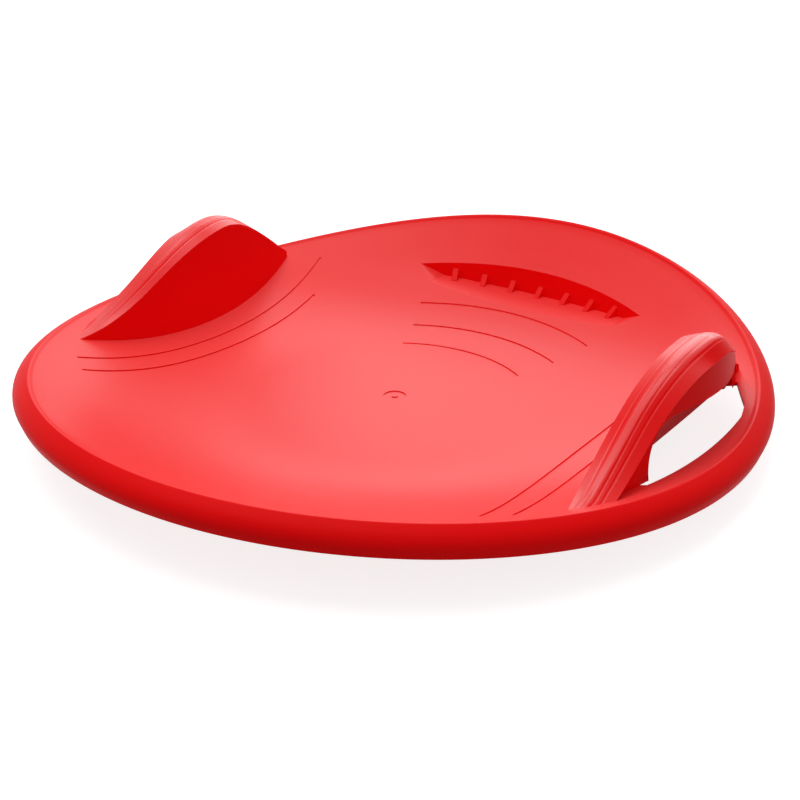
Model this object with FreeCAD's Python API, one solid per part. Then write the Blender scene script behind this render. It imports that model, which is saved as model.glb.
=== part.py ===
import FreeCAD, Part
import math
import os

# Round saucer sled: one moulded plastic shell, kept as its natural regions, which meet face to face.
# X runs across the sled, +Y is the front, Z is up, and the origin is under the middle of the floor.

# Driving dimensions in millimetres. Heights are above the seat floor.
outer_radius = 290.0
wall = 3.0
front_height = 76.5
back_height = 55.0
side_height = 36.0
nose_height = 3.4
floor_radius = 112.0
flank_width = 28.0
rim_width = 22.0
rim_lip = 11.0
rim_crown = 6.0
rim_shoulder = 7.0
rim_drop = 18.0
rim_tuck = 2.0

# Side handle. It stands inside the outer edge by its inset, and its ends keep clear of the rim.
handle_inset = 83.0
handle_lean = 10.0
handle_bow = 15.0
handle_width = 39.0
handle_outer_bow = 9.0
handle_bow_length = 90.0
handle_tip = 20.0
handle_peak = 36.0
handle_back_clearance = 15.0
handle_front_clearance = 11.0
handle_back_fade = 24.0
handle_front_fade = 28.0
handle_height = 102.0
handle_back_height = 32.5
handle_front_height = 34.0
handle_tilt = 13.5
handle_corner = 5.0
handle_shoulder = 16.0
handle_flare = 20.0
handle_depth = 8.0
cavity_back_gap = 38.0
cavity_front_gap = 20.0

# Hand opening: the window under the handle's outer skirt, and the hole in the seat below it.
skirt_height = 62.0
window_back_gap = 70.0
window_front_gap = 18.0
window_corner = 34.0
hole_back_gap = 60.0
hole_front_gap = 56.0
hole_tip_gap = 16.0
hole_inner = 22.0
hole_width_back = 19.0
hole_width = 32.0
hole_width_front = 31.0
hole_width_tip = 8.0

# Heel rest, a step cut into the front flank.
heel_inset = 61.0
heel_height = 16.5
heel_width = 190.0
heel_curve = 700.0
heel_flare = 150.0
rib_count = 7
rib_degrees = 7.25
rib_width = 5.0
rib_rise = 9.0
rib_reach = 10.0

# Shallow moulded lines in the seat, and the gate mark in its middle.
line_width = 2.4
line_depth = 1.0
front_line_radii = [109.0, 146.0, 180.0]
front_line_degrees = [33.0, 30.0, 29.0]
side_line_gaps = [19.5, 39.0]
side_line_bends = [800.0, 810.0]
side_line_backs = [-150.0, -160.0]
side_line_fronts = [150.0, 108.0]
gate_radius = 9.0
gate_depth = 0.8
nub_radius = 2.6

# Helper sizes and counts.
ground_depth = 60.0
ring_count = 24
seam_degrees = -60.0
station_shares = [0.0, 0.1, 0.2, 0.3, 0.4, 0.5, 0.58, 0.66, 0.74, 0.82, 0.9, 0.96, 1.0]
corner_share = 0.38
shoulder_share = 0.5

# Places that follow from the sizes above.
crest_radius = outer_radius - rim_lip
rim_inner_radius = outer_radius - rim_width
flank_radius = rim_inner_radius - flank_width
heel_radius = outer_radius - heel_inset
handle_foot = outer_radius - handle_inset
handle_end = handle_foot + handle_bow
handle_back = -math.sqrt((rim_inner_radius - handle_back_clearance) ** 2 - handle_end ** 2)
handle_front = math.sqrt((rim_inner_radius - handle_front_clearance) ** 2 - handle_end ** 2)
cavity_back = handle_back + cavity_back_gap
cavity_front = handle_front - cavity_front_gap
window_back = handle_back + window_back_gap
window_front = handle_front - window_front_gap
hole_back = handle_back + hole_back_gap
hole_front = handle_front - hole_front_gap
hole_tip = handle_front - hole_tip_gap
mean_height = (front_height + back_height) / 4 + side_height / 2
saddle_height = (front_height + back_height) / 4 - side_height / 2
tilt_height = (front_height - back_height) / 2 - nose_height
flank_start = (floor_radius + flank_radius) / 2
Vector = FreeCAD.Vector


def rise(radius):
    """Share of the crest height that the seat surface has reached at a radius."""
    if radius <= floor_radius:
        return 0.0
    run = crest_radius - flank_start
    if radius < flank_radius:
        return (radius - floor_radius) ** 2 / (2 * (flank_radius - floor_radius) * run)
    return (radius - flank_start) / run


def ring_gain(order):
    """Pole gain that makes a uniform periodic cubic pass through a harmonic of this order."""
    return 3 / (2 + math.cos(order * 2 * math.pi / ring_count))


def ring_poles(section):
    """Poles of a ring surface; each section point is radius, share of the crest height, and height."""
    rows = []
    for index in range(ring_count):
        turn = math.radians(seam_degrees) + index * 2 * math.pi / ring_count
        crest = mean_height + tilt_height * ring_gain(1) * math.sin(turn)
        crest = crest - saddle_height * ring_gain(2) * math.cos(2 * turn)
        crest = crest - nose_height * ring_gain(3) * math.sin(3 * turn)
        reach = ring_gain(1)
        rows.append([Vector(reach * radius * math.cos(turn), reach * radius * math.sin(turn),
                            share * crest + height) for radius, share, height in section])
    return rows


def ring_surface(section, knots=(0.0, 1.0)):
    """Surface that carries a section round the sled; the section is one Bezier row or a C1 quadratic."""
    degree = len(section) - len(knots) + 1
    mults = [degree + 1] + [1] * (len(knots) - 2) + [degree + 1]
    surface = Part.BSplineSurface()
    surface.buildFromPolesMultsKnots(ring_poles(section), [1] * (ring_count + 1), mults,
                                     [float(index) for index in range(ring_count + 1)], list(knots),
                                     True, False, 3, degree)
    return surface


def disc(height, radius):
    """Flat disc that closes a ring surface at a level ring."""
    ring = ring_surface([(radius, 0, height), (radius, 0, height - wall)])
    return Part.Face(Part.Wire(ring.vIso(0.0).toShape()))


def closed(faces):
    """Solid inside a closed set of faces."""
    shell = Part.makeShell(faces)
    shell.sewShape()
    solid = Part.makeSolid(shell)
    if solid.Volume < 0:
        solid.reverse()
    return solid


def seat_section(height):
    """Section of the seat from the flat floor out to the rim."""
    middle = (flank_radius + rim_inner_radius) / 2
    return [(floor_radius, 0, height), (flank_start, 0, height), (middle, rise(middle), height),
            (rim_inner_radius, rise(rim_inner_radius), height)]


def seat_face(height):
    return ring_surface(seat_section(height), (floor_radius, flank_radius, rim_inner_radius)).toShape()


def seat_slab(low, high):
    """Solid between two copies of the seat surface."""
    edge = [(rim_inner_radius, rise(rim_inner_radius), high), (rim_inner_radius, rise(rim_inner_radius), low)]
    return closed([disc(high, floor_radius), seat_face(high), ring_surface(edge).toShape(),
                   seat_face(low), disc(low, floor_radius)])


def rim_top(inset):
    """Section over the rim, from the seat's edge to the top of the outer lip."""
    bend = rim_inner_radius + (crest_radius - rim_inner_radius) * 2 / 3
    height = wall - inset
    return [(rim_inner_radius, rise(rim_inner_radius), height), (bend, rise(bend), height),
            (outer_radius - inset, 1, rim_crown + height), (outer_radius - inset, 1, wall - rim_shoulder)]


def rim_solid():
    """Rolled rim with a turned-down lip, open underneath."""
    low = wall - rim_drop
    half = (rim_shoulder + rim_drop) / 2
    top = rim_top(0)
    under = rim_top(wall)
    outer = [top[-1], (outer_radius, 1, wall - half), (outer_radius - rim_tuck, 1, low)]
    edge = [outer[-1], (outer_radius - rim_tuck - wall, 1, low)]
    inner = [edge[-1], (outer_radius - wall, 1, wall - half), under[-1]]
    seam = [under[0], top[0]]
    sections = [top, outer, edge, inner, under, seam]
    return closed([ring_surface(section).toShape() for section in sections])


def ground_solid():
    """Everything below the top of the seat and the rim, used for trimming."""
    top = rim_top(0)
    side = [top[-1], (outer_radius, 0, -ground_depth)]
    return closed([disc(wall, floor_radius), seat_face(wall), ring_surface(top).toShape(),
                   ring_surface(side).toShape(), disc(-ground_depth, outer_radius)])


def prism(points, direction):
    """Straight block from a closed outline of points."""
    return Part.Face(Part.makePolygon(points + [points[0]])).extrude(direction)


def wave(along):
    """Height of the handle's top above the seat floor."""
    back = handle_back - handle_back_fade
    front = handle_front + handle_front_fade
    if along < handle_peak:
        share = (along - back) / (handle_peak - back)
        base = handle_back_height
    else:
        share = (front - along) / (front - handle_peak)
        base = handle_front_height
    return base + (handle_height - base) * (1 - math.cos(math.pi * share)) / 2


def handle_section(along, inset):
    """Closed section across the handle: leaning inner wall, band tilted inwards, flared outer skirt."""
    bow = (2 * along / (handle_front - handle_back)) ** 2
    curl = max(0.0, along - handle_peak) / (handle_front - handle_peak)
    fall = min(1.0, max(0.0, handle_peak - along) / handle_bow_length)
    top = wall + wave(along) - inset
    share = (top + handle_depth) / (wall + handle_height + handle_depth)
    foot = handle_foot + handle_bow * bow + inset
    inner = foot + handle_lean * share
    outer = handle_foot + handle_width - handle_outer_bow * (1 - math.cos(math.pi * fall)) / 2
    outer = max(outer - handle_tip * curl ** 2 - inset, inner + wall)
    corner = min(handle_corner - inset / 2, corner_share * (outer - inner))
    shoulder = min(handle_shoulder - inset, shoulder_share * (outer - inner))
    tilt = handle_tilt * max(0.0, 1 - bow) * (outer - inner) / (handle_width - handle_lean)
    points = [Vector(foot, along, -handle_depth), Vector(inner, along, top - tilt), Vector(outer, along, top),
              Vector(outer + handle_flare * share, along, -handle_depth)]
    return rounded(points, corner, shoulder)


def rounded(points, near_corner, far_corner):
    """Closed wire through four points with the second and third corners rounded."""
    first, second, third, last = points
    edges = []
    start = first
    turns = [(first, second, third, near_corner), (second, third, last, far_corner)]
    for before, bend, after, corner in turns:
        back = (before - bend).normalize()
        ahead = (after - bend).normalize()
        angle = back.getAngle(ahead)
        reach = corner / math.tan(angle / 2)
        middle = (back + ahead).normalize() * (corner / math.sin(angle / 2) - corner)
        edges.append(Part.makeLine(start, bend + back * reach))
        edges.append(Part.Arc(bend + back * reach, bend + middle, bend + ahead * reach).toShape())
        start = bend + ahead * reach
    edges.append(Part.makeLine(start, last))
    edges.append(Part.makeLine(last, first))
    return Part.Wire(edges)


def handle_loft(back, front, inset):
    """Solid bar along the handle, from one station to another."""
    stations = [back + (front - back) * share for share in station_shares]
    return Part.makeLoft([handle_section(along, inset) for along in stations], True)


def hole_tool():
    """Upright block that opens the seat between the handle and the rim."""
    inner = handle_foot + hole_inner
    low = -ground_depth
    points = [Vector(inner + hole_width_front, hole_front, low), Vector(inner + hole_width_tip, hole_tip, low),
              Vector(inner, hole_tip, low), Vector(inner, hole_back, low),
              Vector(inner + hole_width_back, hole_back, low)]
    apex = Vector(inner + hole_width, handle_peak, low)
    edges = [Part.Arc(points[-1], apex, points[0]).toShape(), Part.makePolygon(points)]
    return Part.Face(Part.Wire(edges)).extrude(Vector(0, 0, 2 * ground_depth))


def skirt_tool():
    """Sideways block that clears the window under the handle's skirt."""
    middle = handle_foot + handle_lean + handle_width / 2
    top = wall + skirt_height
    points = [Vector(middle, window_back, -ground_depth), Vector(middle, window_back, top),
              Vector(middle, window_front, top), Vector(middle, window_front, -ground_depth)]
    window = Part.Face(rounded(points, window_corner, window_corner))
    return window.extrude(Vector(outer_radius - middle, 0, 0))


def heel_tool(grow):
    """Space over the heel shelf: inside the heel wall and above a shelf that rises to flared ends."""
    low = wall + heel_height - grow
    span = heel_radius + grow
    half = heel_width / 2 + grow
    sag = heel_curve - math.sqrt(heel_curve ** 2 - half ** 2)
    left = Vector(-half, 0, low + sag)
    right = Vector(half, 0, low + sag)
    left_top = left + Vector(-heel_flare, 0, front_height)
    right_top = right + Vector(heel_flare, 0, front_height)
    shelf = Part.Arc(left, Vector(0, 0, low), right).toShape()
    edges = [shelf, Part.makePolygon([right, right_top, left_top, left])]
    block = Part.Face(Part.Wire(edges)).extrude(Vector(0, span, 0))
    return block.common(Part.makeCylinder(span, 2 * ground_depth + front_height, Vector(0, 0, -ground_depth)))


def gusset(turn):
    """Upright gusset in the corner between the heel shelf and the heel wall."""
    low = wall
    high = wall + heel_height + rib_rise
    side = -rib_width / 2
    points = [Vector(heel_radius + wall / 2, side, low), Vector(heel_radius + wall / 2, side, high),
              Vector(heel_radius, side, high), Vector(heel_radius - rib_reach, side, high - rib_rise),
              Vector(heel_radius - rib_reach, side, low)]
    block = prism(points, Vector(0, rib_width, 0))
    sag = heel_curve - math.sqrt(heel_curve ** 2 - (heel_radius * math.sin(math.radians(turn))) ** 2)
    block.translate(Vector(0, 0, sag))
    block.rotate(Vector(0, 0, 0), Vector(0, 0, 1), math.degrees(math.pi / 2) - turn)
    return block


def arc_slot(centre, radius, turn, half):
    """Upright curved slot, with half its angle to each side of a direction."""
    start = turn - half
    bottom = Vector(centre, 0, -ground_depth)
    outer = Part.makeCylinder(radius + line_width / 2, 2 * ground_depth, bottom, Vector(0, 0, 1), 2 * half)
    inner = Part.makeCylinder(radius - line_width / 2, 2 * ground_depth, bottom, Vector(0, 0, 1), 2 * half)
    slot = outer.cut(inner)
    slot.rotate(bottom, Vector(0, 0, 1), start)
    return slot


def line_tools():
    """Slots for all shallow lines in the seat."""
    quarter = math.degrees(math.pi / 2)
    tools = [arc_slot(0, radius, quarter, half) for radius, half in zip(front_line_radii, front_line_degrees)]
    for gap, bend, back, front in zip(side_line_gaps, side_line_bends, side_line_backs, side_line_fronts):
        low = math.degrees(math.asin(back / bend))
        high = math.degrees(math.asin(front / bend))
        slot = arc_slot(handle_foot - gap + bend, bend, 2 * quarter - (low + high) / 2, (high - low) / 2)
        tools.append(slot)
        tools.append(slot.mirror(Vector(0, 0, 0), Vector(1, 0, 0)))
    return tools


def mirrored(shape):
    return shape.mirror(Vector(0, 0, 0), Vector(1, 0, 0))


def save(name, shape):
    shape.exportStep("parts/" + name + ".step")


os.makedirs("parts", exist_ok=True)
ground = ground_solid()
rim = rim_solid()
handle_outer_bar = handle_loft(handle_back, handle_front, 0)
cavity = handle_loft(cavity_back, cavity_front, wall)
right_handle = handle_outer_bar.cut([cavity, skirt_tool(), ground])

# The seat: the curved sheet, less the heel step, the hand holes, the shallow lines and the gate mark.
heel_space = heel_tool(0)
heel_block = heel_tool(wall)
line_skin = seat_slab(wall - line_depth, wall + line_depth)
line_cuts = [line_skin.common(tool) for tool in line_tools()]
gate = Part.makeCylinder(gate_radius, wall, Vector(0, 0, wall - gate_depth))
gate = gate.cut(Part.makeCylinder(nub_radius, wall, Vector(0, 0, wall - gate_depth)))
holes = [cavity, hole_tool(), mirrored(cavity), mirrored(hole_tool())]
seat_pan = seat_slab(0, wall).cut([heel_space, gate] + holes + line_cuts)

heel_rest = heel_block.common(ground).cut([heel_space, seat_slab(0, wall), rim])
floor_body = ground.cut(heel_space)
turns = [rib_degrees * (index - (rib_count - 1) / 2) for index in range(rib_count)]
heel_ribs = Part.makeCompound([gusset(turn).cut(floor_body) for turn in turns])

save("seat_pan", seat_pan)
save("rim", rim)
save("right_handle", right_handle)
save("left_handle", mirrored(right_handle))
save("heel_rest", heel_rest)
save("heel_ribs", heel_ribs)
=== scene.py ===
import math
from types import SimpleNamespace

import bpy
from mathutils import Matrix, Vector
from mathutils.bvhtree import BVHTree


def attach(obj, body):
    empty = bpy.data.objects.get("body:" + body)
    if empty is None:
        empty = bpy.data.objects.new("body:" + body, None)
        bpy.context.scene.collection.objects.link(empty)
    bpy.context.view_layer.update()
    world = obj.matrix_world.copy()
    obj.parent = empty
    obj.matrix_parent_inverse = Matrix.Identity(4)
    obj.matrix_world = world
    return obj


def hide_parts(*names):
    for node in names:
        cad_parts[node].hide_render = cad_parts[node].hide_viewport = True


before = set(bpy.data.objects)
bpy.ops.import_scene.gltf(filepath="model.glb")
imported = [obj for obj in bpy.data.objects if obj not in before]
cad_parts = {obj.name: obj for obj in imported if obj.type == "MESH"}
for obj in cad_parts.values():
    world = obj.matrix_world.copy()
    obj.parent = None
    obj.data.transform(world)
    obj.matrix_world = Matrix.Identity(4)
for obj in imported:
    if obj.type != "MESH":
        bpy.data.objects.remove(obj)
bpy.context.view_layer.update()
scene = bpy.context.scene
scene.view_settings.view_transform = "Standard"

# Sizes of the object are in millimetres, and the scene is in metres
metre = 1000.0

# Shell dimensions, as in the part's source
outer_radius = 290.0
wall = 3.0
front_height = 76.5
back_height = 55.0
side_height = 36.0
nose_height = 3.4
floor_radius = 112.0
flank_width = 28.0
rim_width = 22.0
rim_lip = 11.0
rim_drop = 18.0
rim_tuck = 2.0

# Handle dimensions, as in the part's source
handle_inset = 83.0
handle_lean = 10.0
handle_bow = 15.0
handle_width = 39.0
handle_outer_bow = 9.0
handle_bow_length = 90.0
handle_tip = 20.0
handle_peak = 36.0
handle_back_clearance = 15.0
handle_front_clearance = 11.0
handle_back_fade = 24.0
handle_front_fade = 28.0
handle_height = 102.0
handle_back_height = 32.5
handle_front_height = 34.0
handle_tilt = 13.5
handle_shoulder = 16.0
handle_flare = 20.0
handle_depth = 8.0

# Places that follow from the shell and handle dimensions
crest_radius = outer_radius - rim_lip
rim_inner_radius = outer_radius - rim_width
flank_start = (floor_radius + rim_inner_radius - flank_width) / 2
mean_height = (front_height + back_height) / 4 + side_height / 2
saddle_height = (front_height + back_height) / 4 - side_height / 2
tilt_height = (front_height - back_height) / 2 - nose_height
handle_foot = outer_radius - handle_inset
handle_end = handle_foot + handle_bow
handle_back = -math.sqrt((rim_inner_radius - handle_back_clearance) ** 2 - handle_end ** 2)
handle_front = math.sqrt((rim_inner_radius - handle_front_clearance) ** 2 - handle_end ** 2)

# Rolled rim: its outer face lies this far inside the solid, with steps of its mesh
rim_inside = 0.05
rim_steps = 360
bend_steps = 8

# Grip band: how it stands on the handle, and where it starts and ends
band_stand = 0.4
band_sink = 0.8
band_wall = 1.5
band_edge = 1.4
band_tail = 26.0
band_front_fade = 22.0
band_gap = 3.0
band_root = 2.2

# Grip band: lip over the inner wall, and reach past the outer shoulder, wider behind the peak
lip_drop = 2.6
lip_root = 1.0
lip_round = 0.4
band_reach = 9.0
band_rear_reach = 4.0
reach_fade = 40.0
reach_stop = 30.0
rear_start = 38.0
rear_fade = 40.0

# Grip band: angles in degrees at which its crown leaves the shoulder and its hidden side returns
crown_angle = 46.0
crown_rear_angle = 20.0
return_angle = 25.0

# Grip band: grooves, and steps of its mesh
groove_depth = 0.18
groove_half = 1.0
groove_shares = (0.24, 0.40, 0.56, 0.72)
crown_steps = 64
return_steps = 12
band_stations = 96

# Edges sharper than this many degrees stay crisp
crease_angle = 40.0

# Plastic colours, as linear red, green, blue and alpha
deep_red = (0.92, 0.002, 0.003, 1)
light_red = (0.97, 0.003, 0.004, 1)
# Painted sheen: a paler red painted on faces that look up, standing in for the light they reflect
painted_sheen_red = (0.98, 0.056, 0.056, 1)

# Plastic clouds and grain, and how far inside the crest the painted sheen fades and ends
cloud_scale = 6.0
cloud_detail = 3.0
cloud_shares = (0.3, 0.7)
least_painted_sheen = 0.86
sheen_fade_inset = 2.2
sheen_end_inset = 0.6
grain_scale = 1400.0
grain_detail = 2.0
grain_strength = 0.08
grain_height = 0.3

# Plastic gloss, on the sides and on the faces with the painted sheen
side_roughness = 0.46
sheen_face_roughness = 0.52
plastic_ior = 1.5
plastic_specular = 0.05

# Sockets of a colour mix
mix_first = 6
mix_second = 7
mix_result = 2

# Studio: pale floor just under the object, and light levels
floor_size = 40.0
floor_drop = 0.0004
floor_grey = (0.5, 0.5, 0.5, 1)
floor_glow = 0.82
sky_level = 0.36
white = (1, 1, 1, 1)

# Camera at the photograph's place: angles in degrees, lengths in metres, lens and sensor in millimetres
camera_turn = 36.718
camera_lift = 25.258
camera_distance = 0.95
aim_height = 0.003
sensor_width = 36.0
lens_length = 53.20
frame_shift = (0.00666, -0.00588)


def node_material(name):
    """New node material: itself, its nodes, its links and its Principled shader."""
    material = bpy.data.materials.new(name)
    material.use_nodes = True
    tree = material.node_tree
    return material, tree.nodes, tree.links, tree.nodes["Principled BSDF"]


def ranged(nodes, links, value, low=0.0, high=1.0, to_low=0.0, to_high=1.0, kind="LINEAR"):
    """Value carried from one range to another, and held at its ends."""
    carry = nodes.new("ShaderNodeMapRange")
    carry.interpolation_type = kind
    carry.inputs["From Min"].default_value = low
    carry.inputs["From Max"].default_value = high
    carry.inputs["To Min"].default_value = to_low
    carry.inputs["To Max"].default_value = to_high
    links.new(value, carry.inputs["Value"])
    return carry.outputs["Result"]


def combined(nodes, links, operation, values):
    """Values taken together, two by two, with one operation."""
    total = values[0]
    for value in values[1:]:
        step = nodes.new("ShaderNodeMath")
        step.operation = operation
        links.new(total, step.inputs[0])
        links.new(value, step.inputs[1])
        total = step.outputs[0]
    return total


def noise(nodes, links, place, scale, detail):
    """Noise over the object's own coordinates."""
    texture = nodes.new("ShaderNodeTexNoise")
    texture.inputs["Scale"].default_value = scale
    texture.inputs["Detail"].default_value = detail
    links.new(place, texture.inputs["Vector"])
    return texture.outputs["Fac"]


def painted_sheen_share(nodes, links, place, cloud, sheen_start):
    """Share of painted sheen: a paler colour painted on faces that look up, standing in for the light they
    reflect, uneven with the clouds, and none past the rim's brow.
    """
    surface = nodes.new("ShaderNodeNewGeometry")
    normal = nodes.new("ShaderNodeSeparateXYZ")
    links.new(surface.outputs["Normal"], normal.inputs["Vector"])
    upward = ranged(nodes, links, normal.outputs["Z"], low=sheen_start, kind="SMOOTHSTEP")
    uneven = ranged(nodes, links, cloud, to_low=least_painted_sheen)
    level = nodes.new("ShaderNodeVectorMath")
    level.operation = "MULTIPLY"
    level.inputs[1].default_value = (1, 1, 0)
    links.new(place, level.inputs[0])
    radius = nodes.new("ShaderNodeVectorMath")
    radius.operation = "LENGTH"
    links.new(level.outputs["Vector"], radius.inputs[0])
    fade_radius = (crest_radius - sheen_fade_inset) / metre
    end_radius = (crest_radius - sheen_end_inset) / metre
    inside = ranged(nodes, links, radius.outputs["Value"], fade_radius, end_radius, to_low=1.0, to_high=0.0)
    return combined(nodes, links, "MULTIPLY", (upward, uneven, inside))


def red_plastic(name, sheen_start, coat_weight, coat_roughness):
    """Dyed moulded plastic: satin red on the sides; on faces that look up, a paler painted sheen in the
    colour, and a clear coat.
    """
    material, nodes, links, shader = node_material(name)
    place = nodes.new("ShaderNodeTexCoord").outputs["Object"]
    cloud = noise(nodes, links, place, cloud_scale, cloud_detail)
    tint = nodes.new("ShaderNodeValToRGB")
    for stop, share, colour in zip(tint.color_ramp.elements, cloud_shares, (deep_red, light_red)):
        stop.position = share
        stop.color = colour
    links.new(cloud, tint.inputs["Fac"])
    # Painted sheen: share of the paler red painted on faces that look up; it also sets the roughness and the
    # coat
    painted_sheen = painted_sheen_share(nodes, links, place, cloud, sheen_start)
    mix = nodes.new("ShaderNodeMix")
    mix.data_type = "RGBA"
    links.new(painted_sheen, mix.inputs["Factor"])
    links.new(tint.outputs["Color"], mix.inputs[mix_first])
    mix.inputs[mix_second].default_value = painted_sheen_red
    links.new(mix.outputs[mix_result], shader.inputs["Base Color"])
    roughness = ranged(nodes, links, painted_sheen, to_low=side_roughness, to_high=sheen_face_roughness)
    links.new(roughness, shader.inputs["Roughness"])
    bump = nodes.new("ShaderNodeBump")
    bump.inputs["Strength"].default_value = grain_strength
    bump.inputs["Distance"].default_value = grain_height / metre
    links.new(noise(nodes, links, place, grain_scale, grain_detail), bump.inputs["Height"])
    links.new(bump.outputs["Normal"], shader.inputs["Normal"])
    links.new(ranged(nodes, links, painted_sheen, to_high=coat_weight), shader.inputs["Coat Weight"])
    shader.inputs["Coat Roughness"].default_value = coat_roughness
    shader.inputs["IOR"].default_value = plastic_ior
    shader.inputs["Specular IOR Level"].default_value = plastic_specular
    return material


def seen_directly(nodes, links):
    """One for camera, mirror and glass rays, zero for the rays that light the object."""
    path = nodes.new("ShaderNodeLightPath")
    rays = ("Is Camera Ray", "Is Glossy Ray", "Is Transmission Ray")
    return combined(nodes, links, "MAXIMUM", [path.outputs[ray] for ray in rays])


def pale_floor():
    """Grey floor that takes shadows, with a glow that makes it white where it is seen."""
    material, nodes, links, shader = node_material("floor")
    shader.inputs["Base Color"].default_value = floor_grey
    shader.inputs["Roughness"].default_value = 1.0
    shader.inputs["Specular IOR Level"].default_value = 0.0
    shader.inputs["Emission Color"].default_value = white
    glow = ranged(nodes, links, seen_directly(nodes, links), to_high=floor_glow)
    links.new(glow, shader.inputs["Emission Strength"])
    return material


def moulded_piece(name, vertices, faces, material):
    """Smooth piece of the moulding with crisp creases."""
    mesh = bpy.data.meshes.new(name)
    mesh.from_pydata(vertices, [], faces)
    mesh.shade_smooth()
    mesh.set_sharp_from_angle(angle=math.radians(crease_angle))
    mesh.materials.append(material)
    piece = bpy.data.objects.new(name, mesh)
    scene.collection.objects.link(piece)
    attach(piece, "root")
    return piece


def bezier(poles, steps):
    """Points along a cubic Bezier, without its first point."""
    points = []
    for step in range(1, steps + 1):
        t = step / steps
        u = 1 - t
        weights = (u * u * u, 3 * u * u * t, 3 * u * t * t, t * t * t)
        points.append(tuple(sum(w * pole[axis] for w, pole in zip(weights, poles)) for axis in (0, 1, 2)))
    return points


def flank(radius):
    """Share of the crest height that the flank has reached at a radius."""
    return (radius - flank_start) / (crest_radius - flank_start)


def rim_pole(offset, base, height):
    """Point of the rim's section as radius, share of the crest height, and height on it.

    The offset places the point, and the base places the flank that it stands on, both from the crest.
    """
    return (crest_radius + offset, flank(crest_radius + base), height)


def crest_height(turn):
    """Height of the crest at an angle round the sled: a tilted saddle with a raised nose."""
    height = mean_height + tilt_height * math.sin(turn)
    return height - saddle_height * math.cos(2 * turn) - nose_height * math.sin(3 * turn)


def rim_section():
    """Closed section of the rim: over the brow, down the face, round the lip and back through the hollow."""
    lip_offset = rim_lip - rim_tuck
    lip_low = wall - rim_drop
    joint_offset = rim_lip - rim_width
    joint_top = rim_pole(joint_offset, joint_offset, wall)
    run_in = rim_pole(-5.0, -5.0, wall)
    over_start = rim_pole(-3.0, -3.0, 3.2)
    over_end = rim_pole(-1.7, -1.4, 4.4)
    brow = rim_pole(-0.4, -1.6, 3.7)
    face_start = rim_pole(4.0, -1.2, 1.4)
    face_end = rim_pole(10.8, 0.0, -2.5)
    foot = rim_pole(rim_lip - rim_inside, 0.0, -9.0)
    lip_outside = rim_pole(lip_offset, 0.0, lip_low)
    lip_inside = rim_pole(lip_offset - wall, 0.0, lip_low)
    hollow_start = rim_pole(8.0, 0.0, -6.0)
    hollow_end = rim_pole(1.0, -2.0, -1.6)
    underside = rim_pole(-7.0, -7.0, 0.0)
    joint_under = rim_pole(joint_offset, joint_offset, 0.0)
    section = [joint_top, run_in]
    section += bezier([run_in, over_start, over_end, brow], bend_steps)
    section += bezier([brow, face_start, face_end, foot], 2 * bend_steps)
    section += [lip_outside, lip_inside]
    section += bezier([lip_inside, hollow_start, hollow_end, underside], 2 * bend_steps)
    section.append(joint_under)
    return section


def rim_ring(name):
    """Rim with a crisp brow and a rounded outer face, carried round the sled; returns its surface."""
    section = rim_section()
    count = len(section)
    vertices = []
    faces = []
    for step in range(rim_steps):
        turn = 2 * math.pi * step / rim_steps
        crest = crest_height(turn)
        for radius, share, height in section:
            point = Vector((radius * math.cos(turn), radius * math.sin(turn), share * crest + height))
            vertices.append(point / metre)
        ahead = (step + 1) % rim_steps * count
        for corner in range(count):
            beside = (corner + 1) % count
            faces.append([step * count + corner, step * count + beside, ahead + beside, ahead + corner])
    piece = moulded_piece(name, vertices, faces, plastic)
    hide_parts("rim")
    return BVHTree.FromPolygons(vertices, faces)


def smooth(share):
    """Zero to one with level ends."""
    share = min(1.0, max(0.0, share))
    return share * share * (3 - 2 * share)


def facing(angle):
    """Unit direction in a section across the handle, at an angle up from level outward."""
    return Vector((math.cos(angle), math.sin(angle)))


def wave(along):
    """Height of the handle's top above the seat floor."""
    back = handle_back - handle_back_fade
    front = handle_front + handle_front_fade
    if along < handle_peak:
        share = (along - back) / (handle_peak - back)
        base = handle_back_height
    else:
        share = (front - along) / (front - handle_peak)
        base = handle_front_height
    return base + (handle_height - base) * (1 - math.cos(math.pi * share)) / 2


def handle_top(along):
    """Section across the handle's top: tilted flat from its near edge, then the round shoulder."""
    bow = (2 * along / (handle_front - handle_back)) ** 2
    curl = max(0.0, along - handle_peak) / (handle_front - handle_peak)
    fall = min(1.0, max(0.0, handle_peak - along) / handle_bow_length)
    top = wall + wave(along)
    share = (top + handle_depth) / (wall + handle_height + handle_depth)
    foot = handle_foot + handle_bow * bow
    inner = foot + handle_lean * share
    outer = handle_foot + handle_width - handle_outer_bow * (1 - math.cos(math.pi * fall)) / 2
    outer = max(outer - handle_tip * curl ** 2, inner + wall)
    shoulder = min(handle_shoulder, (outer - inner) / 2)
    tilt = handle_tilt * max(0.0, 1 - bow) * (outer - inner) / (handle_width - handle_lean)
    near = Vector((inner, top - tilt))
    far = Vector((outer, top))
    back = (near - far).normalized()
    down = (Vector((outer + handle_flare * share, -handle_depth)) - far).normalized()
    corner = back.angle(down)
    wall_down = (Vector((foot, -handle_depth)) - near).normalized()
    return SimpleNamespace(
        near=near,
        back=back,
        shoulder=shoulder,
        flat=(far - near).length - shoulder / math.tan(corner / 2),
        centre=far + (back + down).normalized() * (shoulder / math.sin(corner / 2)),
        normal_angle=math.pi / 2 + math.atan2(far.y - near.y, far.x - near.x),
        wall_down=wall_down,
        wall_out=Vector((wall_down.y, -wall_down.x)),
    )


def on_crown(top, arc, run):
    """Point and outward direction at a run from the near edge: flat, then shoulder, then straight on."""
    if run <= top.flat:
        return top.near - top.back * run, facing(top.normal_angle)
    out = facing(top.normal_angle - min(run - top.flat, arc) / top.shoulder)
    ahead = Vector((out.y, -out.x)) * max(0.0, run - top.flat - arc)
    return top.centre + out * top.shoulder + ahead, out


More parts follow.
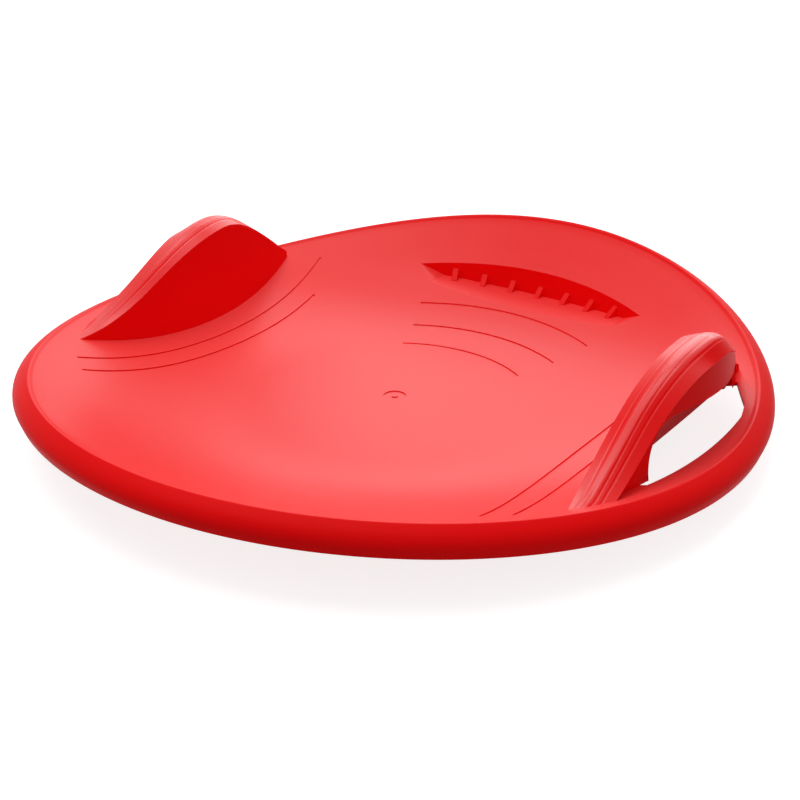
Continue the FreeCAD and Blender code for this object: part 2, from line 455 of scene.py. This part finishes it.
def groove_dip(share, length):
    """Depth of the grooves at a share of the crown's length."""
    offsets = [(share - groove) * length / groove_half for groove in groove_shares]
    return sum(groove_depth * max(0.0, 1 - offset ** 2) for offset in offsets)


def band_loop(along):
    """Closed loop of points round the band: inner lip, grooved crown, crisp outer edge, hidden return."""
    top = handle_top(along)
    shown = smooth((handle_front - band_gap - along) / band_front_fade)
    stand = shown * band_stand - (1 - shown) * band_sink
    rear = smooth((rear_start - along) / rear_fade)
    eased = smooth((along - handle_back + band_tail) / reach_fade)
    eased *= smooth((handle_front - reach_stop - along) / reach_fade)
    arc = top.shoulder * max(0.0, top.normal_angle - math.radians(crown_angle + crown_rear_angle * rear))
    length = top.flat + arc + (band_reach + band_rear_reach * rear) * eased
    inset = top.wall_out * band_wall
    lip = top.near + top.wall_out * stand
    loop = [top.near + top.wall_down * (lip_drop + lip_root) - inset]
    loop += [lip + top.wall_down * drop for drop in (lip_drop, lip_round)]
    for step in range(crown_steps + 1):
        share = step / crown_steps
        point, out = on_crown(top, arc, length * share)
        loop.append(point + out * (stand - groove_dip(share, length) * shown))
    edge, out = on_crown(top, arc, length)
    loop.append(edge + out * (stand - band_edge * shown))
    low = math.radians(return_angle)
    for step in range(return_steps + 1):
        turn = low + (top.normal_angle - low) * step / return_steps
        loop.append(top.centre + facing(turn) * (top.shoulder - band_wall))
    loop.append(top.near - facing(top.normal_angle) * band_wall - inset)
    return loop


def seated(point, grounds):
    """Point kept within the band's root of the seat's and rim's top, so that it stays inside the shell."""
    for ground in grounds:
        hit = ground.ray_cast(Vector((point.x, point.y, 1.0)), Vector((0, 0, -1)))[0]
        if hit:
            point.z = max(point.z, hit.z - band_root / metre)
    return point


def grip_band(name, side, grounds):
    """Lofted grip band on the handle of one side: 1 right, -1 left."""
    start = handle_back - band_tail
    span = handle_front - band_gap - start
    rows = []
    for station in range(band_stations + 1):
        along = start + span * station / band_stations
        points = [Vector((side * point.x, along, point.y)) / metre for point in band_loop(along)]
        rows.append([seated(point, grounds) for point in points])
    count = len(rows[0])
    vertices = [vertex for row in rows for vertex in row]
    faces = [list(range(count)), list(range(len(vertices) - 1, len(vertices) - count - 1, -1))]
    for station in range(band_stations):
        for step in range(count):
            here = station * count + step
            beside = station * count + (step + 1) % count
            faces.append([here, here + count, beside + count, beside])
    if side < 0:
        faces = [face[::-1] for face in faces]
    moulded_piece(name, vertices, faces, grip_plastic)


def area_light(name, place, size, power):
    """Square soft lamp that points at the object."""
    data = bpy.data.lights.new(name, "AREA")
    data.size = size
    data.energy = power
    lamp = bpy.data.objects.new(name, data)
    lamp.location = place
    lamp.rotation_euler = (-Vector(place)).to_track_quat("-Z", "Y").to_euler()
    scene.collection.objects.link(lamp)


# Finish: one plastic, with a paler sheen painted on faces that look up, and more gloss where hands hold it
plastic = red_plastic("red_plastic", sheen_start=0.66, coat_weight=0.45, coat_roughness=0.30)
grip_plastic = red_plastic("grip_plastic", sheen_start=0.77, coat_weight=1.0, coat_roughness=0.20)
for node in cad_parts.values():
    node.data.materials.clear()
    node.data.materials.append(plastic)

# Rim and grip bands
depsgraph = bpy.context.evaluated_depsgraph_get()
seat_surface = BVHTree.FromObject(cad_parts["seat_pan"], depsgraph)
rim_surface = rim_ring("rolled_rim")
for name, side in (("right_grip_band", 1), ("left_grip_band", -1)):
    grip_band(name, side, (seat_surface, rim_surface))

# Floor
bpy.ops.mesh.primitive_plane_add(size=floor_size, location=(0, 0, -floor_drop))
floor = bpy.context.object
floor.name = "floor"
floor.data.materials.append(pale_floor())

# World: a plain sky for lighting, white where it is seen
world = bpy.data.worlds.new("studio")
scene.world = world
world.use_nodes = True
sky_nodes = world.node_tree.nodes
sky_links = world.node_tree.links
sky = sky_nodes["Background"]
sky.inputs["Color"].default_value = white
sky_strength = ranged(sky_nodes, sky_links, seen_directly(sky_nodes, sky_links), to_low=sky_level)
sky_links.new(sky_strength, sky.inputs["Strength"])

# Lamps
area_light("back_softbox", place=(-0.8, 2.4, 1.7), size=2.4, power=31)
area_light("top_softbox", place=(-0.5, -0.1, 2.0), size=1.7, power=21)

# Camera
turn = math.radians(camera_turn)
lift = math.radians(camera_lift)
back = Vector((math.sin(turn) * math.cos(lift), -math.cos(turn) * math.cos(lift), math.sin(lift)))
camera_data = bpy.data.cameras.new("camera")
camera_data.sensor_width = sensor_width
camera_data.lens = lens_length
camera_data.shift_x, camera_data.shift_y = frame_shift
camera = bpy.data.objects.new("camera", camera_data)
camera.location = back * camera_distance + Vector((0, 0, aim_height))
camera.rotation_euler = (-back).to_track_quat("-Z", "Y").to_euler()
scene.collection.objects.link(camera)
scene.camera = camera
